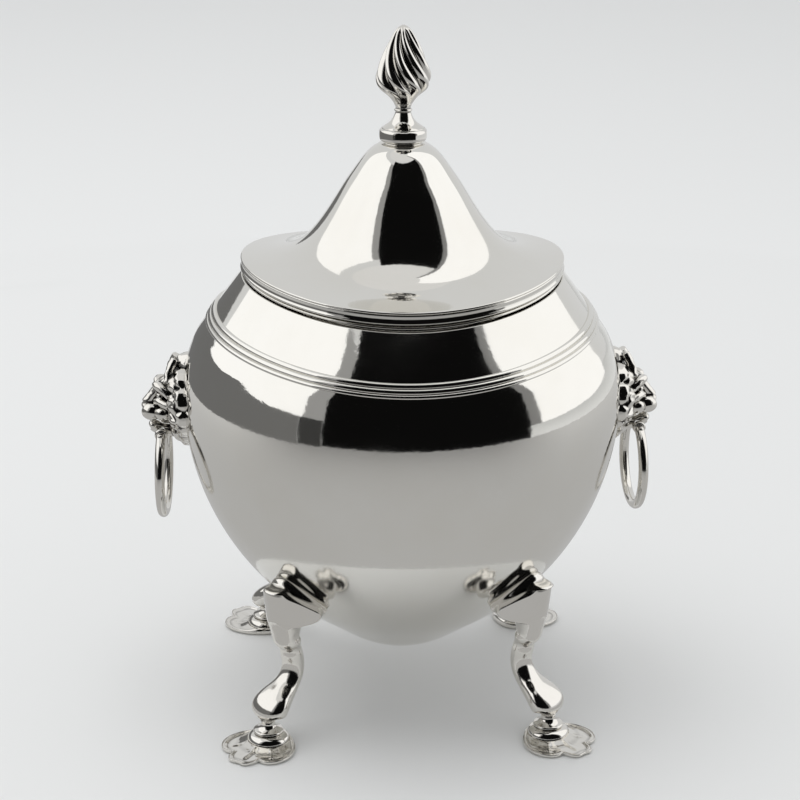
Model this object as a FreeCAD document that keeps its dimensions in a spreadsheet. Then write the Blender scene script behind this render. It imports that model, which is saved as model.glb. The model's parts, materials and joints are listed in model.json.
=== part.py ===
import FreeCAD, Part
import math
import os
import Sketcher

# Footed silver sugar bowl with a lift-off lid, lion masks and drop rings.
# Millimetres. Z is up, the floor is Z = 0, the rings hang at +X and -X, the front is -Y.

DIMENSIONS = [
    # bowl form, turned about Z
    ("bowl_radius", 46.0), ("belly_height", 68.0), ("belly_arc", 58.5), ("shoulder_arc", 25.3),
    ("flank_angle", 55.0), ("flank_length", 10.0), ("collar_angle", 36.0), ("form_top", 100.0),
    ("wall", 1.0),
    # the neck is a little narrower from front to back than from ring to ring
    ("neck_base_height", 81.4), ("neck_base_radius", 42.4), ("neck_top_side", 28.7),
    ("neck_top_front", 24.5), ("neck_clear", 60.0),
    # mouth, lid and band all dip towards the front and the back
    ("mouth_height", 94.2), ("mouth_bow", 180.0), ("band_height", 86.0), ("band_bow", 225.0),
    ("band_width", 2.9), ("band_proud", 0.8), ("mouth_wire_height", 0.8),
    ("mouth_wire_proud", 0.25), ("mouth_wire_depth", 1.5), ("bow_length", 140.0),
    # lid
    ("lid_height", 97.0), ("lid_radius", 33.4), ("lid_sheet", 0.8), ("rim_thick", 1.1),
    ("seat_gap", 0.05), ("bezel_radius", 30.4), ("bezel_thick", 0.8), ("bezel_bottom", 88.0),
    ("bell_base_height", 90.0), ("bell_base_radius", 26.79), ("bell_join_height", 116.5),
    ("bell_join_radius", 8.77), ("bell_top_height", 120.2), ("bell_top_radius", 4.9),
    ("bell_arc", 12.8), ("bell_angle", 34.2), ("puck_bottom", 84.0), ("puck_height", 20.0),
    # finial
    ("collar_radius", 4.8), ("collar_height", 3.1), ("collar_arc", 1.7), ("stem_base_radius", 4.3),
    ("stem_neck_radius", 1.75), ("stem_neck_height", 126.5), ("stem_arc", 3.6),
    ("cup_radius", 3.0), ("cup_height", 128.4), ("cup_arc", 1.6), ("flame_radius", 5.75),
    ("flame_widest", 132.7), ("flame_shoulder_radius", 3.9), ("flame_shoulder_height", 139.3),
    ("flame_tip", 144.2), ("flame_tip_radius", 0.3), ("flame_low_arc", 6.2), ("flame_mid_arc", 16.0),
    ("flame_top_arc", 30.0), ("stud_radius", 1.15), ("stud_clear", 0.05), ("stud_bottom", 116.4),
    ("stud_length", 8.9), ("washer_radius", 3.6), ("washer_thick", 0.5), ("nut_corner", 2.9),
    ("nut_thick", 2.0),
    # lion masks
    ("mask_turn", 3.5), ("mane_height", 65.4), ("mane_radius", 10.5), ("mane_root", 42.0),
    ("mane_edge", 45.6), ("mane_front", 49.3), ("mane_flat", 3.0), ("mane_arc", 16.0),
    ("head_height", 67.2), ("head_radius", 6.2), ("head_root", 44.0), ("head_edge", 48.5),
    ("head_front", 53.4), ("head_flat", 1.5), ("head_arc", 5.5), ("muzzle_height", 63.6),
    ("muzzle_radius", 3.0), ("muzzle_root", 46.0), ("muzzle_edge", 54.3), ("muzzle_front", 56.9),
    ("muzzle_flat", 0.6), ("muzzle_arc", 2.9), ("jaw_half_width", 2.0), ("jaw_radius", 2.0),
    ("jaw_root", 46.5),
    # drop rings
    ("pivot_x", 50.6), ("pivot_height", 58.2), ("ring_radius", 9.45), ("ring_wire", 1.05),
    ("ring_gap_angle", 21.0), ("eye_radius", 1.35), ("eye_start", 2.55), ("eye_width", 1.9),
    ("pin_radius", 0.6), ("pin_clear", 0.05), ("pin_half", 5.6), ("pin_nose_radius", 0.4),
    ("pin_nose_half", 5.8),
    # legs and feet
    ("leg_turn", 45.0), ("solder_gap", 0.02), ("wing_x", 35.2), ("wing_height", 32.3),
    ("wing_deep", 2.8), ("wing_wide", 8.6), ("wing_tall", 3.1), ("foot_x", 41.2),
    ("neck_top", 5.4), ("neck_radius", 1.5), ("collar_disc_radius", 3.1), ("collar_disc_top", 4.2),
    ("base_disc_radius", 4.2), ("base_disc_top", 3.2), ("pad_top", 1.0), ("pad_x", 43.4),
    ("pad_radius", 6.6), ("side_lobe_x", 45.8), ("side_lobe_out", 4.9), ("side_lobe_radius", 3.9),
    ("toe_lobe_x", 48.8), ("toe_lobe_radius", 3.9),
]

# centre-line radius, height, half width, half thickness and tilt at each station down a leg
LEG_STATIONS = [
    ("crest", 39.7, 40.6, 1.7, 1.7, 8.0),
    ("knee", 39.4, 38.0, 3.7, 3.1, 4.0),
    ("calf", 38.4, 32.5, 4.0, 3.9, -12.0),
    ("cuff", 36.3, 26.0, 3.15, 2.7, -20.0),
    ("shank", 34.6, 20.0, 2.6, 2.1, -12.0),
    ("ankle", 34.3, 16.3, 2.3, 1.9, 14.0),
    ("sweep", 36.4, 12.4, 2.7, 1.9, 44.0),
    ("pastern", 39.6, 9.2, 3.6, 2.2, 36.0),
    ("heel", 41.1, 6.9, 2.3, 1.9, 8.0),
    ("neck", 41.2, 5.4, 1.5, 1.5, 0.0),
]

os.makedirs("parts", exist_ok=True)
doc = FreeCAD.newDocument("sugar_bowl")
sheet = doc.addObject("Spreadsheet::Sheet", "Dimensions")
PARTS = []


class Size:
    """A size with its number and the expression that binds it to the sheet."""

    def __init__(self, text, value):
        self.text = text
        self.value = float(value)

    def combined(self, other, sign, value):
        other = as_size(other)
        return Size(f"({self.text} {sign} {other.text})", value(self.value, other.value))

    def __add__(self, other):
        return self.combined(other, "+", lambda first, second: first + second)

    def __sub__(self, other):
        return self.combined(other, "-", lambda first, second: first - second)

    def __mul__(self, other):
        return self.combined(other, "*", lambda first, second: first * second)

    def __truediv__(self, other):
        return self.combined(other, "/", lambda first, second: first / second)


def as_size(number):
    if isinstance(number, Size):
        return number
    return Size(str(float(number)), number)


def cosine(angle):
    return Size(f"cos({angle.text} * 1 deg)", math.cos(math.radians(angle.value)))


def sine(angle):
    return Size(f"sin({angle.text} * 1 deg)", math.sin(math.radians(angle.value)))


def size(alias):
    return Size("Dimensions." + alias, sheet.get(alias))


def fill_sheet():
    rows = list(DIMENSIONS)
    for name, centre, height, wide, thick, tilt in LEG_STATIONS:
        rows += [(name + "_x", centre), (name + "_height", height)]
        rows += [(name + "_wide", wide), (name + "_thick", thick), (name + "_tilt", tilt)]
    for row, (alias, number) in enumerate(rows, start=1):
        sheet.set(f"A{row}", alias)
        sheet.set(f"B{row}", str(number))
        sheet.setAlias(f"B{row}", "leg_" + alias if row > len(DIMENSIONS) else alias)
    doc.recompute()


def bind(item, path, amount):
    item.setExpression(path, as_size(amount).text)


def place(item, x=None, y=None, z=None, axis=None, angle=0.0):
    if axis is not None:
        item.Placement = FreeCAD.Placement(FreeCAD.Vector(), FreeCAD.Rotation(axis, angle))
    for letter, amount in (("x", x), ("y", y), ("z", z)):
        if amount is not None:
            bind(item, "Placement.Base." + letter, amount)
    return item


X_AXIS = FreeCAD.Vector(1, 0, 0)
Y_AXIS = FreeCAD.Vector(0, 1, 0)
Z_AXIS = FreeCAD.Vector(0, 0, 1)


# ---- solids that the pieces are made from ----

def cylinder(name, radius, height):
    item = doc.addObject("Part::Cylinder", name)
    bind(item, "Radius", radius)
    bind(item, "Height", height)
    return item


def ellipsoid(name, x_radius, y_radius, z_radius):
    item = doc.addObject("Part::Ellipsoid", name)
    item.Angle1 = -90
    bind(item, "Radius1", z_radius)
    bind(item, "Radius2", x_radius)
    bind(item, "Radius3", y_radius)
    return item


def joined(kind, name, first, second):
    item = doc.addObject("Part::" + kind, name)
    item.Base = first
    item.Tool = second
    return item


def cut(name, first, second):
    return joined("Cut", name, first, second)


def common(name, first, second):
    return joined("Common", name, first, second)


def fused(name, items):
    item = doc.addObject("Part::MultiFuse", name)
    item.Shapes = items
    return item


def origin_plane(body, role):
    for feature in body.Origin.OriginFeatures:
        if feature.Role == role:
            return feature
    raise RuntimeError("no plane " + role)


def arc_between(start, end, radius, turn_left):
    """Minor arc from start to end; its centre is on the left of travel if turn_left."""
    middle = (start + end) * 0.5
    chord = end - start
    rise = math.sqrt(max(radius ** 2 - (chord.Length / 2) ** 2, 0.0))
    normal = FreeCAD.Vector(-chord.y, chord.x, 0).normalize()
    centre = middle + normal * (rise if turn_left else -rise)
    first = math.atan2(start.y - centre.y, start.x - centre.x)
    last = math.atan2(end.y - centre.y, end.x - centre.x)
    circle = Part.Circle(centre, Z_AXIS, radius)
    if turn_left:
        return Part.ArcOfCircle(circle, first, last)
    return Part.ArcOfCircle(circle, last, first)


def turned_solid(name, outline):
    """Revolve an outline about Z. Each point is (radius, height, arc to the next point)."""
    body = doc.addObject("PartDesign::Body", name)
    sketch = body.newObject("Sketcher::SketchObject", name + "_outline")
    sketch.AttachmentSupport = [(origin_plane(body, "XZ_Plane"), "")]
    sketch.MapMode = "FlatFace"
    count = len(outline)
    corners = [FreeCAD.Vector(x.value, z.value, 0) for x, z, _ in outline]
    ends = []
    for index, (_, _, arc) in enumerate(outline):
        start = corners[index]
        end = corners[(index + 1) % count]
        if arc is None:
            sketch.addGeometry(Part.LineSegment(start, end), False)
            ends.append((1, 2))
        else:
            radius, turn_left = arc
            sketch.addGeometry(arc_between(start, end, radius.value, turn_left), False)
            ends.append((1, 2) if turn_left else (2, 1))
    for index, (x, z, arc) in enumerate(outline):
        before = (index - 1) % count
        sketch.addConstraint(
            Sketcher.Constraint("Coincident", before, ends[before][1], index, ends[index][0]))
        if abs(x.value) < 1e-9:
            sketch.addConstraint(Sketcher.Constraint("PointOnObject", index, ends[index][0], -2))
        else:
            row = sketch.addConstraint(
                Sketcher.Constraint("DistanceX", -1, 1, index, ends[index][0], x.value))
            bind(sketch, f"Constraints[{row}]", x)
        row = sketch.addConstraint(
            Sketcher.Constraint("DistanceY", -1, 1, index, ends[index][0], z.value))
        bind(sketch, f"Constraints[{row}]", z)
        if arc is not None:
            row = sketch.addConstraint(Sketcher.Constraint("Radius", index, arc[0].value))
            bind(sketch, f"Constraints[{row}]", arc[0])
    revolution = body.newObject("PartDesign::Revolution", name + "_turning")
    revolution.Profile = sketch
    revolution.ReferenceAxis = (sketch, ["V_Axis"])
    revolution.Angle = 360.0
    body.Tip = revolution
    return body


ZERO = as_size(0.0)


def below_bow(name, height, bow, lift=0.0):
    """Everything under a bowed surface whose top line runs along X at the given height."""
    item = cylinder(name, bow, size("bow_length"))
    place(item, x=size("bow_length") * -0.5, z=as_size(height) + lift - bow, axis=Y_AXIS, angle=90)
    return item


def neck_trim(name, inset):
    """What the narrower neck takes off the turned form."""
    sections = []
    for end, height, side, front in (
            ("base", size("neck_base_height"), size("neck_base_radius"), size("neck_base_radius")),
            ("top", size("form_top"), size("neck_top_side"), size("neck_top_front"))):
        ring = doc.addObject("Part::Ellipse", f"{name}_{end}")
        bind(ring, "MajorRadius", side - inset)
        bind(ring, "MinorRadius", front - inset)
        place(ring, z=height)
        sections.append(ring)
    cone = doc.addObject("Part::Loft", name + "_cone")
    cone.Sections = sections
    cone.Solid = True
    cone.Ruled = True
    block = cylinder(name + "_block", size("neck_clear"),
                     size("form_top") - size("neck_base_height"))
    place(block, z=size("neck_base_height"))
    return cut(name, block, cone)


def bowl_form(name, inset):
    """The solid form of the bowl, its surface moved inwards by inset."""
    inset = as_size(inset)
    belly_x = size("bowl_radius") - size("belly_arc")
    belly_arc = size("belly_arc") - inset
    shoulder_x = size("bowl_radius") - size("shoulder_arc")
    shoulder_arc = size("shoulder_arc") - inset
    flank = size("flank_angle")
    flank_top_x = belly_x + belly_arc * cosine(flank)
    flank_top_z = size("belly_height") - belly_arc * sine(flank)
    flank_x = flank_top_x - size("flank_length") * sine(flank)
    flank_z = flank_top_z - size("flank_length") * cosine(flank)
    base_arc = flank_x / cosine(flank)
    base_z = flank_z + base_arc * sine(flank) - base_arc
    tilt = size("collar_angle")
    neck_x = shoulder_x + shoulder_arc * cosine(tilt)
    neck_z = size("belly_height") + shoulder_arc * sine(tilt)
    top_x = neck_x - (size("form_top") - neck_z) * sine(tilt) / cosine(tilt)
    turned = turned_solid(name + "_turned", [
        (ZERO, base_z, (base_arc, True)),
        (flank_x, flank_z, None),
        (flank_top_x, flank_top_z, (belly_arc, True)),
        (size("bowl_radius") - inset, size("belly_height"), (shoulder_arc, True)),
        (neck_x, neck_z, None),
        (top_x, size("form_top"), None),
        (ZERO, size("form_top"), None),
    ])
    return cut(name, turned, neck_trim(name + "_trim", inset * 1.3))


def keep(item, label):
    item.Label = label
    PARTS.append(item)
    return item


# ---- bowl ----

def bowl_shell():
    solid = common("bowl_solid", bowl_form("bowl_outside", 0.0),
                   below_bow("shell_mouth", size("mouth_height") - size("mouth_wire_height"),
                             size("mouth_bow")))
    return keep(cut("bowl_shell", solid, bowl_form("bowl_inside", size("wall"))), "bowl_shell")


def mouth_wire():
    ring = cut("wire_ring", bowl_form("wire_outside", size("mouth_wire_proud") * -1.0),
               bowl_form("wire_inside", size("mouth_wire_depth")))
    topped = common("wire_topped", ring,
                    below_bow("wire_top", size("mouth_height"), size("mouth_bow")))
    base = below_bow("wire_base", size("mouth_height") - size("mouth_wire_height"),
                     size("mouth_bow"))
    return keep(cut("mouth_wire", topped, base), "mouth_wire")


def reeded_band():
    ring = cut("band_ring", bowl_form("band_outside", size("band_proud") * -1.0),
               bowl_form("band_inside", 0.0))
    topped = common("band_topped", ring,
                    below_bow("band_top", size("band_height"), size("band_bow")))
    base = below_bow("band_base", size("band_height") - size("band_width"), size("band_bow"))
    return keep(cut("reeded_band", topped, base), "reeded_band")


# ---- legs and feet ----

def leg(label, turn):
    sections = []
    for name, *_ in LEG_STATIONS:
        section = doc.addObject("Part::Ellipse", f"{label}_{name}")
        bind(section, "MajorRadius", size(f"leg_{name}_wide"))
        bind(section, "MinorRadius", size(f"leg_{name}_thick"))
        across = FreeCAD.Rotation(Z_AXIS, 90)
        leaning = FreeCAD.Rotation(Y_AXIS, -size(f"leg_{name}_tilt").value)
        section.Placement = FreeCAD.Placement(FreeCAD.Vector(), leaning * across)
        place(section, x=size(f"leg_{name}_x"), z=size(f"leg_{name}_height"))
        sections.append(section)
    stem = doc.addObject("Part::Loft", label + "_stem")
    stem.Sections = sections
    stem.Solid = True
    wing = ellipsoid(label + "_wing", size("wing_deep"), size("wing_wide"), size("wing_tall"))
    place(wing, x=size("wing_x"), z=size("wing_height"))
    blank = fused(label + "_blank", [stem, wing])
    seated = cut(label, blank, bowl_form(label + "_seat", size("solder_gap") * -1.0))
    seated.Placement = FreeCAD.Placement(FreeCAD.Vector(), FreeCAD.Rotation(Z_AXIS, turn))
    return keep(seated, label)


def disc(name, x, y, radius, low, high):
    item = cylinder(name, radius, as_size(high) - low)
    return place(item, x=x, y=y, z=low)


def foot(label, turn):
    zero = as_size(0.0)
    pieces = [
        disc(label + "_neck", size("foot_x"), zero, size("neck_radius"),
             size("collar_disc_top"), size("neck_top")),
        disc(label + "_collar", size("foot_x"), zero, size("collar_disc_radius"),
             size("base_disc_top"), size("collar_disc_top")),
        disc(label + "_base", size("foot_x"), zero, size("base_disc_radius"),
             size("pad_top"), size("base_disc_top")),
        disc(label + "_pad", size("pad_x"), zero, size("pad_radius"), zero, size("pad_top")),
        disc(label + "_toe", size("toe_lobe_x"), zero, size("toe_lobe_radius"),
             zero, size("pad_top")),
    ]
    for side, sign in (("near", -1.0), ("far", 1.0)):
        pieces.append(disc(f"{label}_{side}_lobe", size("side_lobe_x"),
                           size("side_lobe_out") * sign, size("side_lobe_radius"),
                           zero, size("pad_top")))
    item = fused(label, pieces)
    item.Placement = FreeCAD.Placement(FreeCAD.Vector(), FreeCAD.Rotation(Z_AXIS, turn))
    return keep(item, label)


# ---- lion masks with their drop rings ----

def across_pivot(name, radius, start, length):
    """A round bar along Y through the ring's pivot, built at +X."""
    item = cylinder(name, radius, length)
    return place(item, x=size("pivot_x"), y=as_size(start) + length, z=size("pivot_height"),
                 axis=X_AXIS, angle=90)


def cast_dome(name, part):
    """A round-fronted boss turned about X: root, edge and front are its places along X."""
    body = turned_solid(name, [
        (ZERO, size(part + "_root"), None),
        (size(part + "_radius"), size(part + "_root"), None),
        (size(part + "_radius"), size(part + "_edge"), (size(part + "_arc"), True)),
        (size(part + "_flat"), size(part + "_front"), None),
        (ZERO, size(part + "_front"), None)])
    return place(body, z=size(part + "_height"), axis=Y_AXIS, angle=90)


def mask(label, turn):
    bosses = [cast_dome(f"{label}_{part}", part) for part in ("mane", "head", "muzzle")]
    jaw = across_pivot(label + "_jaw", size("jaw_radius"), size("jaw_half_width") * -1.0,
                       size("jaw_half_width") * 2.0)
    root = doc.addObject("Part::Box", label + "_root")
    bind(root, "Length", size("pivot_x") - size("jaw_root"))
    bind(root, "Width", size("jaw_half_width") * 2.0)
    bind(root, "Height", size("jaw_radius") * 2.0)
    place(root, x=size("jaw_root"), y=size("jaw_half_width") * -1.0,
          z=size("pivot_height") - size("jaw_radius"))
    blank = fused(label + "_blank", bosses + [jaw, root])
    hole = across_pivot(label + "_hole", size("pin_radius"), size("pin_half") * -2.0,
                        size("pin_half") * 4.0)
    bored = cut(label + "_bored", blank, hole)
    item = cut(label, bored, bowl_form(label + "_seat", size("solder_gap") * -1.0))
    item.Placement = FreeCAD.Placement(FreeCAD.Vector(), FreeCAD.Rotation(Z_AXIS, turn))
    return keep(item, label)


def ring_pin(label, turn):
    """A plain pin with a smaller nose at each end."""
    bar = across_pivot(label + "_bar", size("pin_radius"), size("pin_half") * -1.0,
                       size("pin_half") * 2.0)
    nose = across_pivot(label + "_nose", size("pin_nose_radius"), size("pin_nose_half") * -1.0,
                        size("pin_nose_half") * 2.0)
    item = fused(label, [bar, nose])
    item.Placement = FreeCAD.Placement(FreeCAD.Vector(), FreeCAD.Rotation(Z_AXIS, turn))
    return keep(item, label)


def drop_ring(label, turn):
    gap = size("ring_gap_angle")
    wire = doc.addObject("Part::Torus", label + "_wire")
    bind(wire, "Radius1", size("ring_radius"))
    bind(wire, "Radius2", size("ring_wire"))
    bind(wire, "Angle3", as_size(360.0) - gap * 2.0)
    flat_to_upright = FreeCAD.Rotation(Y_AXIS, -90)
    open_side_up = FreeCAD.Rotation(Z_AXIS, gap.value)
    wire.Placement = FreeCAD.Placement(FreeCAD.Vector(), flat_to_upright * open_side_up)
    place(wire, x=size("pivot_x"), z=size("pivot_height") - size("ring_radius") * cosine(gap))
    pieces = [wire]
    for side, start in (("near", size("eye_start") * -1.0 - size("eye_width")),
                        ("far", size("eye_start"))):
        pieces.append(across_pivot(f"{label}_{side}_eye", size("eye_radius"), start,
                                   size("eye_width")))
    blank = fused(label + "_blank", pieces)
    bore = across_pivot(label + "_bore", size("pin_radius") + size("pin_clear"),
                        size("pin_nose_half") * -1.1, size("pin_nose_half") * 2.2)
    item = cut(label, blank, bore)
    item.Placement = FreeCAD.Placement(FreeCAD.Vector(), FreeCAD.Rotation(Z_AXIS, turn))
    return keep(item, label)


# ---- lid ----

def bell_form(name, inset):
    inset = as_size(inset)
    lean = size("bell_angle")
    return turned_solid(name, [
        (ZERO, size("bell_base_height"), None),
        (size("bell_base_radius") - inset / cosine(lean), size("bell_base_height"), None),
        (size("bell_join_radius") - inset * cosine(lean),
         size("bell_join_height") - inset * sine(lean), (size("bell_arc") - inset, True)),
        (size("bell_top_radius") - inset * 0.75, size("bell_top_height") - inset, None),
        (ZERO, size("bell_top_height") - inset, None),
    ])


def puck(name, radius):
    return disc(name, ZERO, ZERO, radius, size("puck_bottom"),
                size("puck_bottom") + size("puck_height"))


def lid_shell():
    under = size("lid_height") - size("lid_sheet")
    flange = common("flange_outside", puck("flange_disc", size("lid_radius")),
                    below_bow("flange_top", size("lid_height"), size("mouth_bow")))
    hollow = common("flange_inside", puck("flange_clear", size("lid_radius") + 2.0),
                    below_bow("flange_under", under, size("mouth_bow")))
    outside = fused("lid_outside", [flange, bell_form("bell_outside", 0.0)])
    stud_way = disc("lid_stud_way", ZERO, ZERO, size("stud_radius") + size("stud_clear"),
                    size("stud_bottom"), size("bell_top_height") + 2.0)
    inside = fused("lid_inside", [hollow, bell_form("bell_inside", size("lid_sheet")), stud_way])
    return keep(cut("lid_shell", outside, inside), "lid_shell")


def bowed_hoop(label, radius, thick, top, bottom_solid):
    """A hoop whose upper edge follows the underside of the lid."""
    hoop = cut(label + "_hoop", puck(label + "_outer", radius),
               puck(label + "_inner", as_size(radius) - thick))
    topped = common(label + "_topped", hoop, below_bow(label + "_top", top, size("mouth_bow")))
    return keep(cut(label, topped, bottom_solid), label)


def lid_hoops():
    under = size("lid_height") - size("lid_sheet")
    rim_base = below_bow("rim_base", size("mouth_height") + size("seat_gap"), size("mouth_bow"))
    bowed_hoop("lid_rim_wire", size("lid_radius"), size("rim_thick"), under, rim_base)
    bezel_base = disc("bezel_base", ZERO, ZERO, size("neck_clear"), ZERO, size("bezel_bottom"))
    bowed_hoop("lid_bezel", size("bezel_radius"), size("bezel_thick"), under, bezel_base)


# ---- finial, held by a stud, washer and nut under the lid ----

def finial():
    way = size("stud_radius") + size("stud_clear")
    base = size("bell_top_height")
    collar_top = base + size("collar_height")
    collar = turned_solid("collar_solid", [
        (way, base, None),
        (size("collar_radius") - 0.5, base, (size("collar_arc"), True)),
        (size("collar_radius") - 0.5, collar_top, None),
        (way, collar_top, None),
    ])
    keep(collar, "finial_collar")
    stem = turned_solid("stem_solid", [
        (ZERO, collar_top, None),
        (size("stem_base_radius"), collar_top, (size("stem_arc"), False)),
        (size("stem_neck_radius"), size("stem_neck_height"), (size("cup_arc"), False)),
        (size("cup_radius"), size("cup_height"), None),
        (ZERO, size("cup_height"), None),
    ])
    stud_top = size("stud_bottom") + size("stud_length") + size("stud_clear")
    stem_bore = disc("stem_bore", ZERO, ZERO, way, size("stud_bottom"), stud_top)
    keep(cut("finial_stem", stem, stem_bore), "finial_stem")
    flame = turned_solid("flame_solid", [
        (ZERO, size("cup_height"), None),
        (size("cup_radius"), size("cup_height"), (size("flame_low_arc"), True)),
        (size("flame_radius"), size("flame_widest"), (size("flame_mid_arc"), True)),
        (size("flame_shoulder_radius"), size("flame_shoulder_height"),
         (size("flame_top_arc"), True)),
        (size("flame_tip_radius"), size("flame_tip"), None),
        (ZERO, size("flame_tip"), None),
    ])
    keep(flame, "finial_flame")


def stud_set():
    way = size("stud_radius") + size("stud_clear")
    stud = cylinder("finial_stud", size("stud_radius"), size("stud_length"))
    keep(place(stud, z=size("stud_bottom")), "finial_stud")
    ceiling = size("bell_top_height") - size("lid_sheet")
    washer_low = ceiling - size("washer_thick")
    washer = cut("finial_washer",
                 disc("washer_disc", ZERO, ZERO, size("washer_radius"), washer_low, ceiling),
                 disc("washer_hole", ZERO, ZERO, way, washer_low - 1.0, ceiling + 1.0))
    keep(washer, "finial_washer")
    hexagon = doc.addObject("Part::Prism", "nut_hexagon")
    hexagon.Polygon = 6
    bind(hexagon, "Circumradius", size("nut_corner"))
    bind(hexagon, "Height", size("nut_thick"))
    nut_low = washer_low - size("nut_thick")
    place(hexagon, z=nut_low)
    hole = disc("nut_hole", ZERO, ZERO, way, nut_low - 1.0, washer_low + 1.0)
    keep(cut("finial_nut", hexagon, hole), "finial_nut")


def build():
    fill_sheet()
    bowl_shell()
    mouth_wire()
    reeded_band()
    leg_turn = size("leg_turn").value
    corners = [("front_left", 180.0 + leg_turn), ("front_right", -leg_turn),
               ("back_left", 180.0 - leg_turn), ("back_right", leg_turn)]
    for corner, turn in corners:
        leg("leg_" + corner, turn)
        foot("foot_" + corner, turn)
    mask_turn = size("mask_turn").value
    for side, turn in (("left", 180.0 - mask_turn), ("right", mask_turn)):
        mask("lion_mask_" + side, turn)
        ring_pin("ring_pin_" + side, turn)
        drop_ring("ring_" + side, turn)
    lid_shell()
    lid_hoops()
    finial()
    stud_set()
    doc.recompute()


def check():
    for item in doc.Objects:
        if "Invalid" in item.State or "Error" in item.State:
            raise RuntimeError("not built: " + item.Name)
    for item in PARTS:
        if item.Shape.isNull() or not item.Shape.isValid():
            raise RuntimeError("bad solid: " + item.Label)
        if len(item.Shape.Solids) != 1:
            raise RuntimeError(f"{item.Label} has {len(item.Shape.Solids)} solids")


def export():
    for item in PARTS:
        item.Shape.exportStep("parts/" + item.Label + ".step")


build()
check()
export()
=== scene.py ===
import bmesh
import bpy
import json
import math
from mathutils import Matrix, Vector, noise

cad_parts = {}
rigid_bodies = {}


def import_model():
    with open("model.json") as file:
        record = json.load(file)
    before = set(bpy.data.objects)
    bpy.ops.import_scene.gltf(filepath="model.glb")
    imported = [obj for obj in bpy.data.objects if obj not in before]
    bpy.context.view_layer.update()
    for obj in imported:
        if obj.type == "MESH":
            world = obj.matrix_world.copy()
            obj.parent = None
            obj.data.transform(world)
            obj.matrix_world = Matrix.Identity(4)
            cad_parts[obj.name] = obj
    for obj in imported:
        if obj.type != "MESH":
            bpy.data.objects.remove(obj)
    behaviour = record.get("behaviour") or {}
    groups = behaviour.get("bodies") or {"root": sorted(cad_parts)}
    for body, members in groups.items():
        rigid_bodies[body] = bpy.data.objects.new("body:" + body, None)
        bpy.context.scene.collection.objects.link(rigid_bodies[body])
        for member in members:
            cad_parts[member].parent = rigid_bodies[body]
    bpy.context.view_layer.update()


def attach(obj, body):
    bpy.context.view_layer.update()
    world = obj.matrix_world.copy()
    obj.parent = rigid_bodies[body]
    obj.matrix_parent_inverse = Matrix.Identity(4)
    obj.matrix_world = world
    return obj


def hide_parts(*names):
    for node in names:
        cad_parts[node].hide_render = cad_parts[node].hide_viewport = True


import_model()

# Everything is worked out in millimetres in the CAD's own frame, and scaled to metres at the end.
MM = 0.001

# ---- the bowl's driving sizes, as in the CAD ----
BOWL_RADIUS = 46.0
BELLY_HEIGHT = 68.0
BELLY_ARC = 58.5
SHOULDER_ARC = 25.3
FLANK_ANGLE = math.radians(55.0)
FLANK_LENGTH = 10.0
COLLAR_ANGLE = math.radians(36.0)
WALL = 1.0
NECK_BASE_HEIGHT = 81.4
NECK_BASE_RADIUS = 42.4
NECK_TOP_HEIGHT = 100.0
NECK_TOP_SIDE = 28.7
NECK_TOP_FRONT = 24.5
MOUTH_HEIGHT = 94.2
MOUTH_BOW = 180.0
BAND_HEIGHT = 86.0
BAND_BOW = 225.0
LID_HEIGHT = 97.0
LID_RADIUS = 33.4
AROUND = 288


# ---- helpers: curves and meshes ----

def spline(points, count):
    """A natural cubic through the points, sampled at count places evenly along its chords."""
    size = len(points)
    wide = len(points[0])
    along = [0.0]
    for before, after in zip(points, points[1:]):
        along.append(along[-1] + max(math.dist(before, after), 1e-6))
    seconds = [[0.0] * wide for _ in range(size)]
    for axis in range(wide):
        upper = [0.0] * size
        right = [0.0] * size
        for i in range(1, size - 1):
            low = along[i] - along[i - 1]
            high = along[i + 1] - along[i]
            slope = (points[i + 1][axis] - points[i][axis]) / high
            slope -= (points[i][axis] - points[i - 1][axis]) / low
            pivot = 2.0 * (low + high) - low * upper[i - 1]
            upper[i] = high / pivot
            right[i] = (6.0 * slope - low * right[i - 1]) / pivot
        for i in range(size - 2, 0, -1):
            seconds[i][axis] = right[i] - upper[i] * seconds[i + 1][axis]
    made = []
    span = 0
    for step in range(count):
        place = along[-1] * step / (count - 1)
        while span < size - 2 and place > along[span + 1]:
            span += 1
        gap = along[span + 1] - along[span]
        b = (place - along[span]) / gap
        a = 1.0 - b
        made.append(tuple(
            a * points[span][k] + b * points[span + 1][k]
            + ((a ** 3 - a) * seconds[span][k] + (b ** 3 - b) * seconds[span + 1][k])
            * gap * gap / 6.0 for k in range(wide)))
    return made


def arc(centre, radius, first, last, count):
    """Points on an arc, angles in degrees."""
    made = []
    for i in range(count):
        angle = math.radians(first + (last - first) * i / (count - 1))
        made.append((centre[0] + radius * math.cos(angle), centre[1] + radius * math.sin(angle)))
    return made


def smoothstep(low, high, value):
    """0 at low, 1 at high, with a soft change between them."""
    t = min(max((value - low) / (high - low), 0.0), 1.0)
    return t * t * (3.0 - 2.0 * t)


def new_object(name, vertices, faces, body, slot, material, stands_for=()):
    """A smooth-shaded piece from millimetre vertices, riding on a CAD body."""
    mesh = bpy.data.meshes.new(name)
    mesh.from_pydata([Vector(v) * MM for v in vertices], [], faces)
    piece = bpy.data.objects.new(name, mesh)
    bpy.context.scene.collection.objects.link(piece)
    finish_piece(piece, body, slot, material, stands_for)
    return piece


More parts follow.
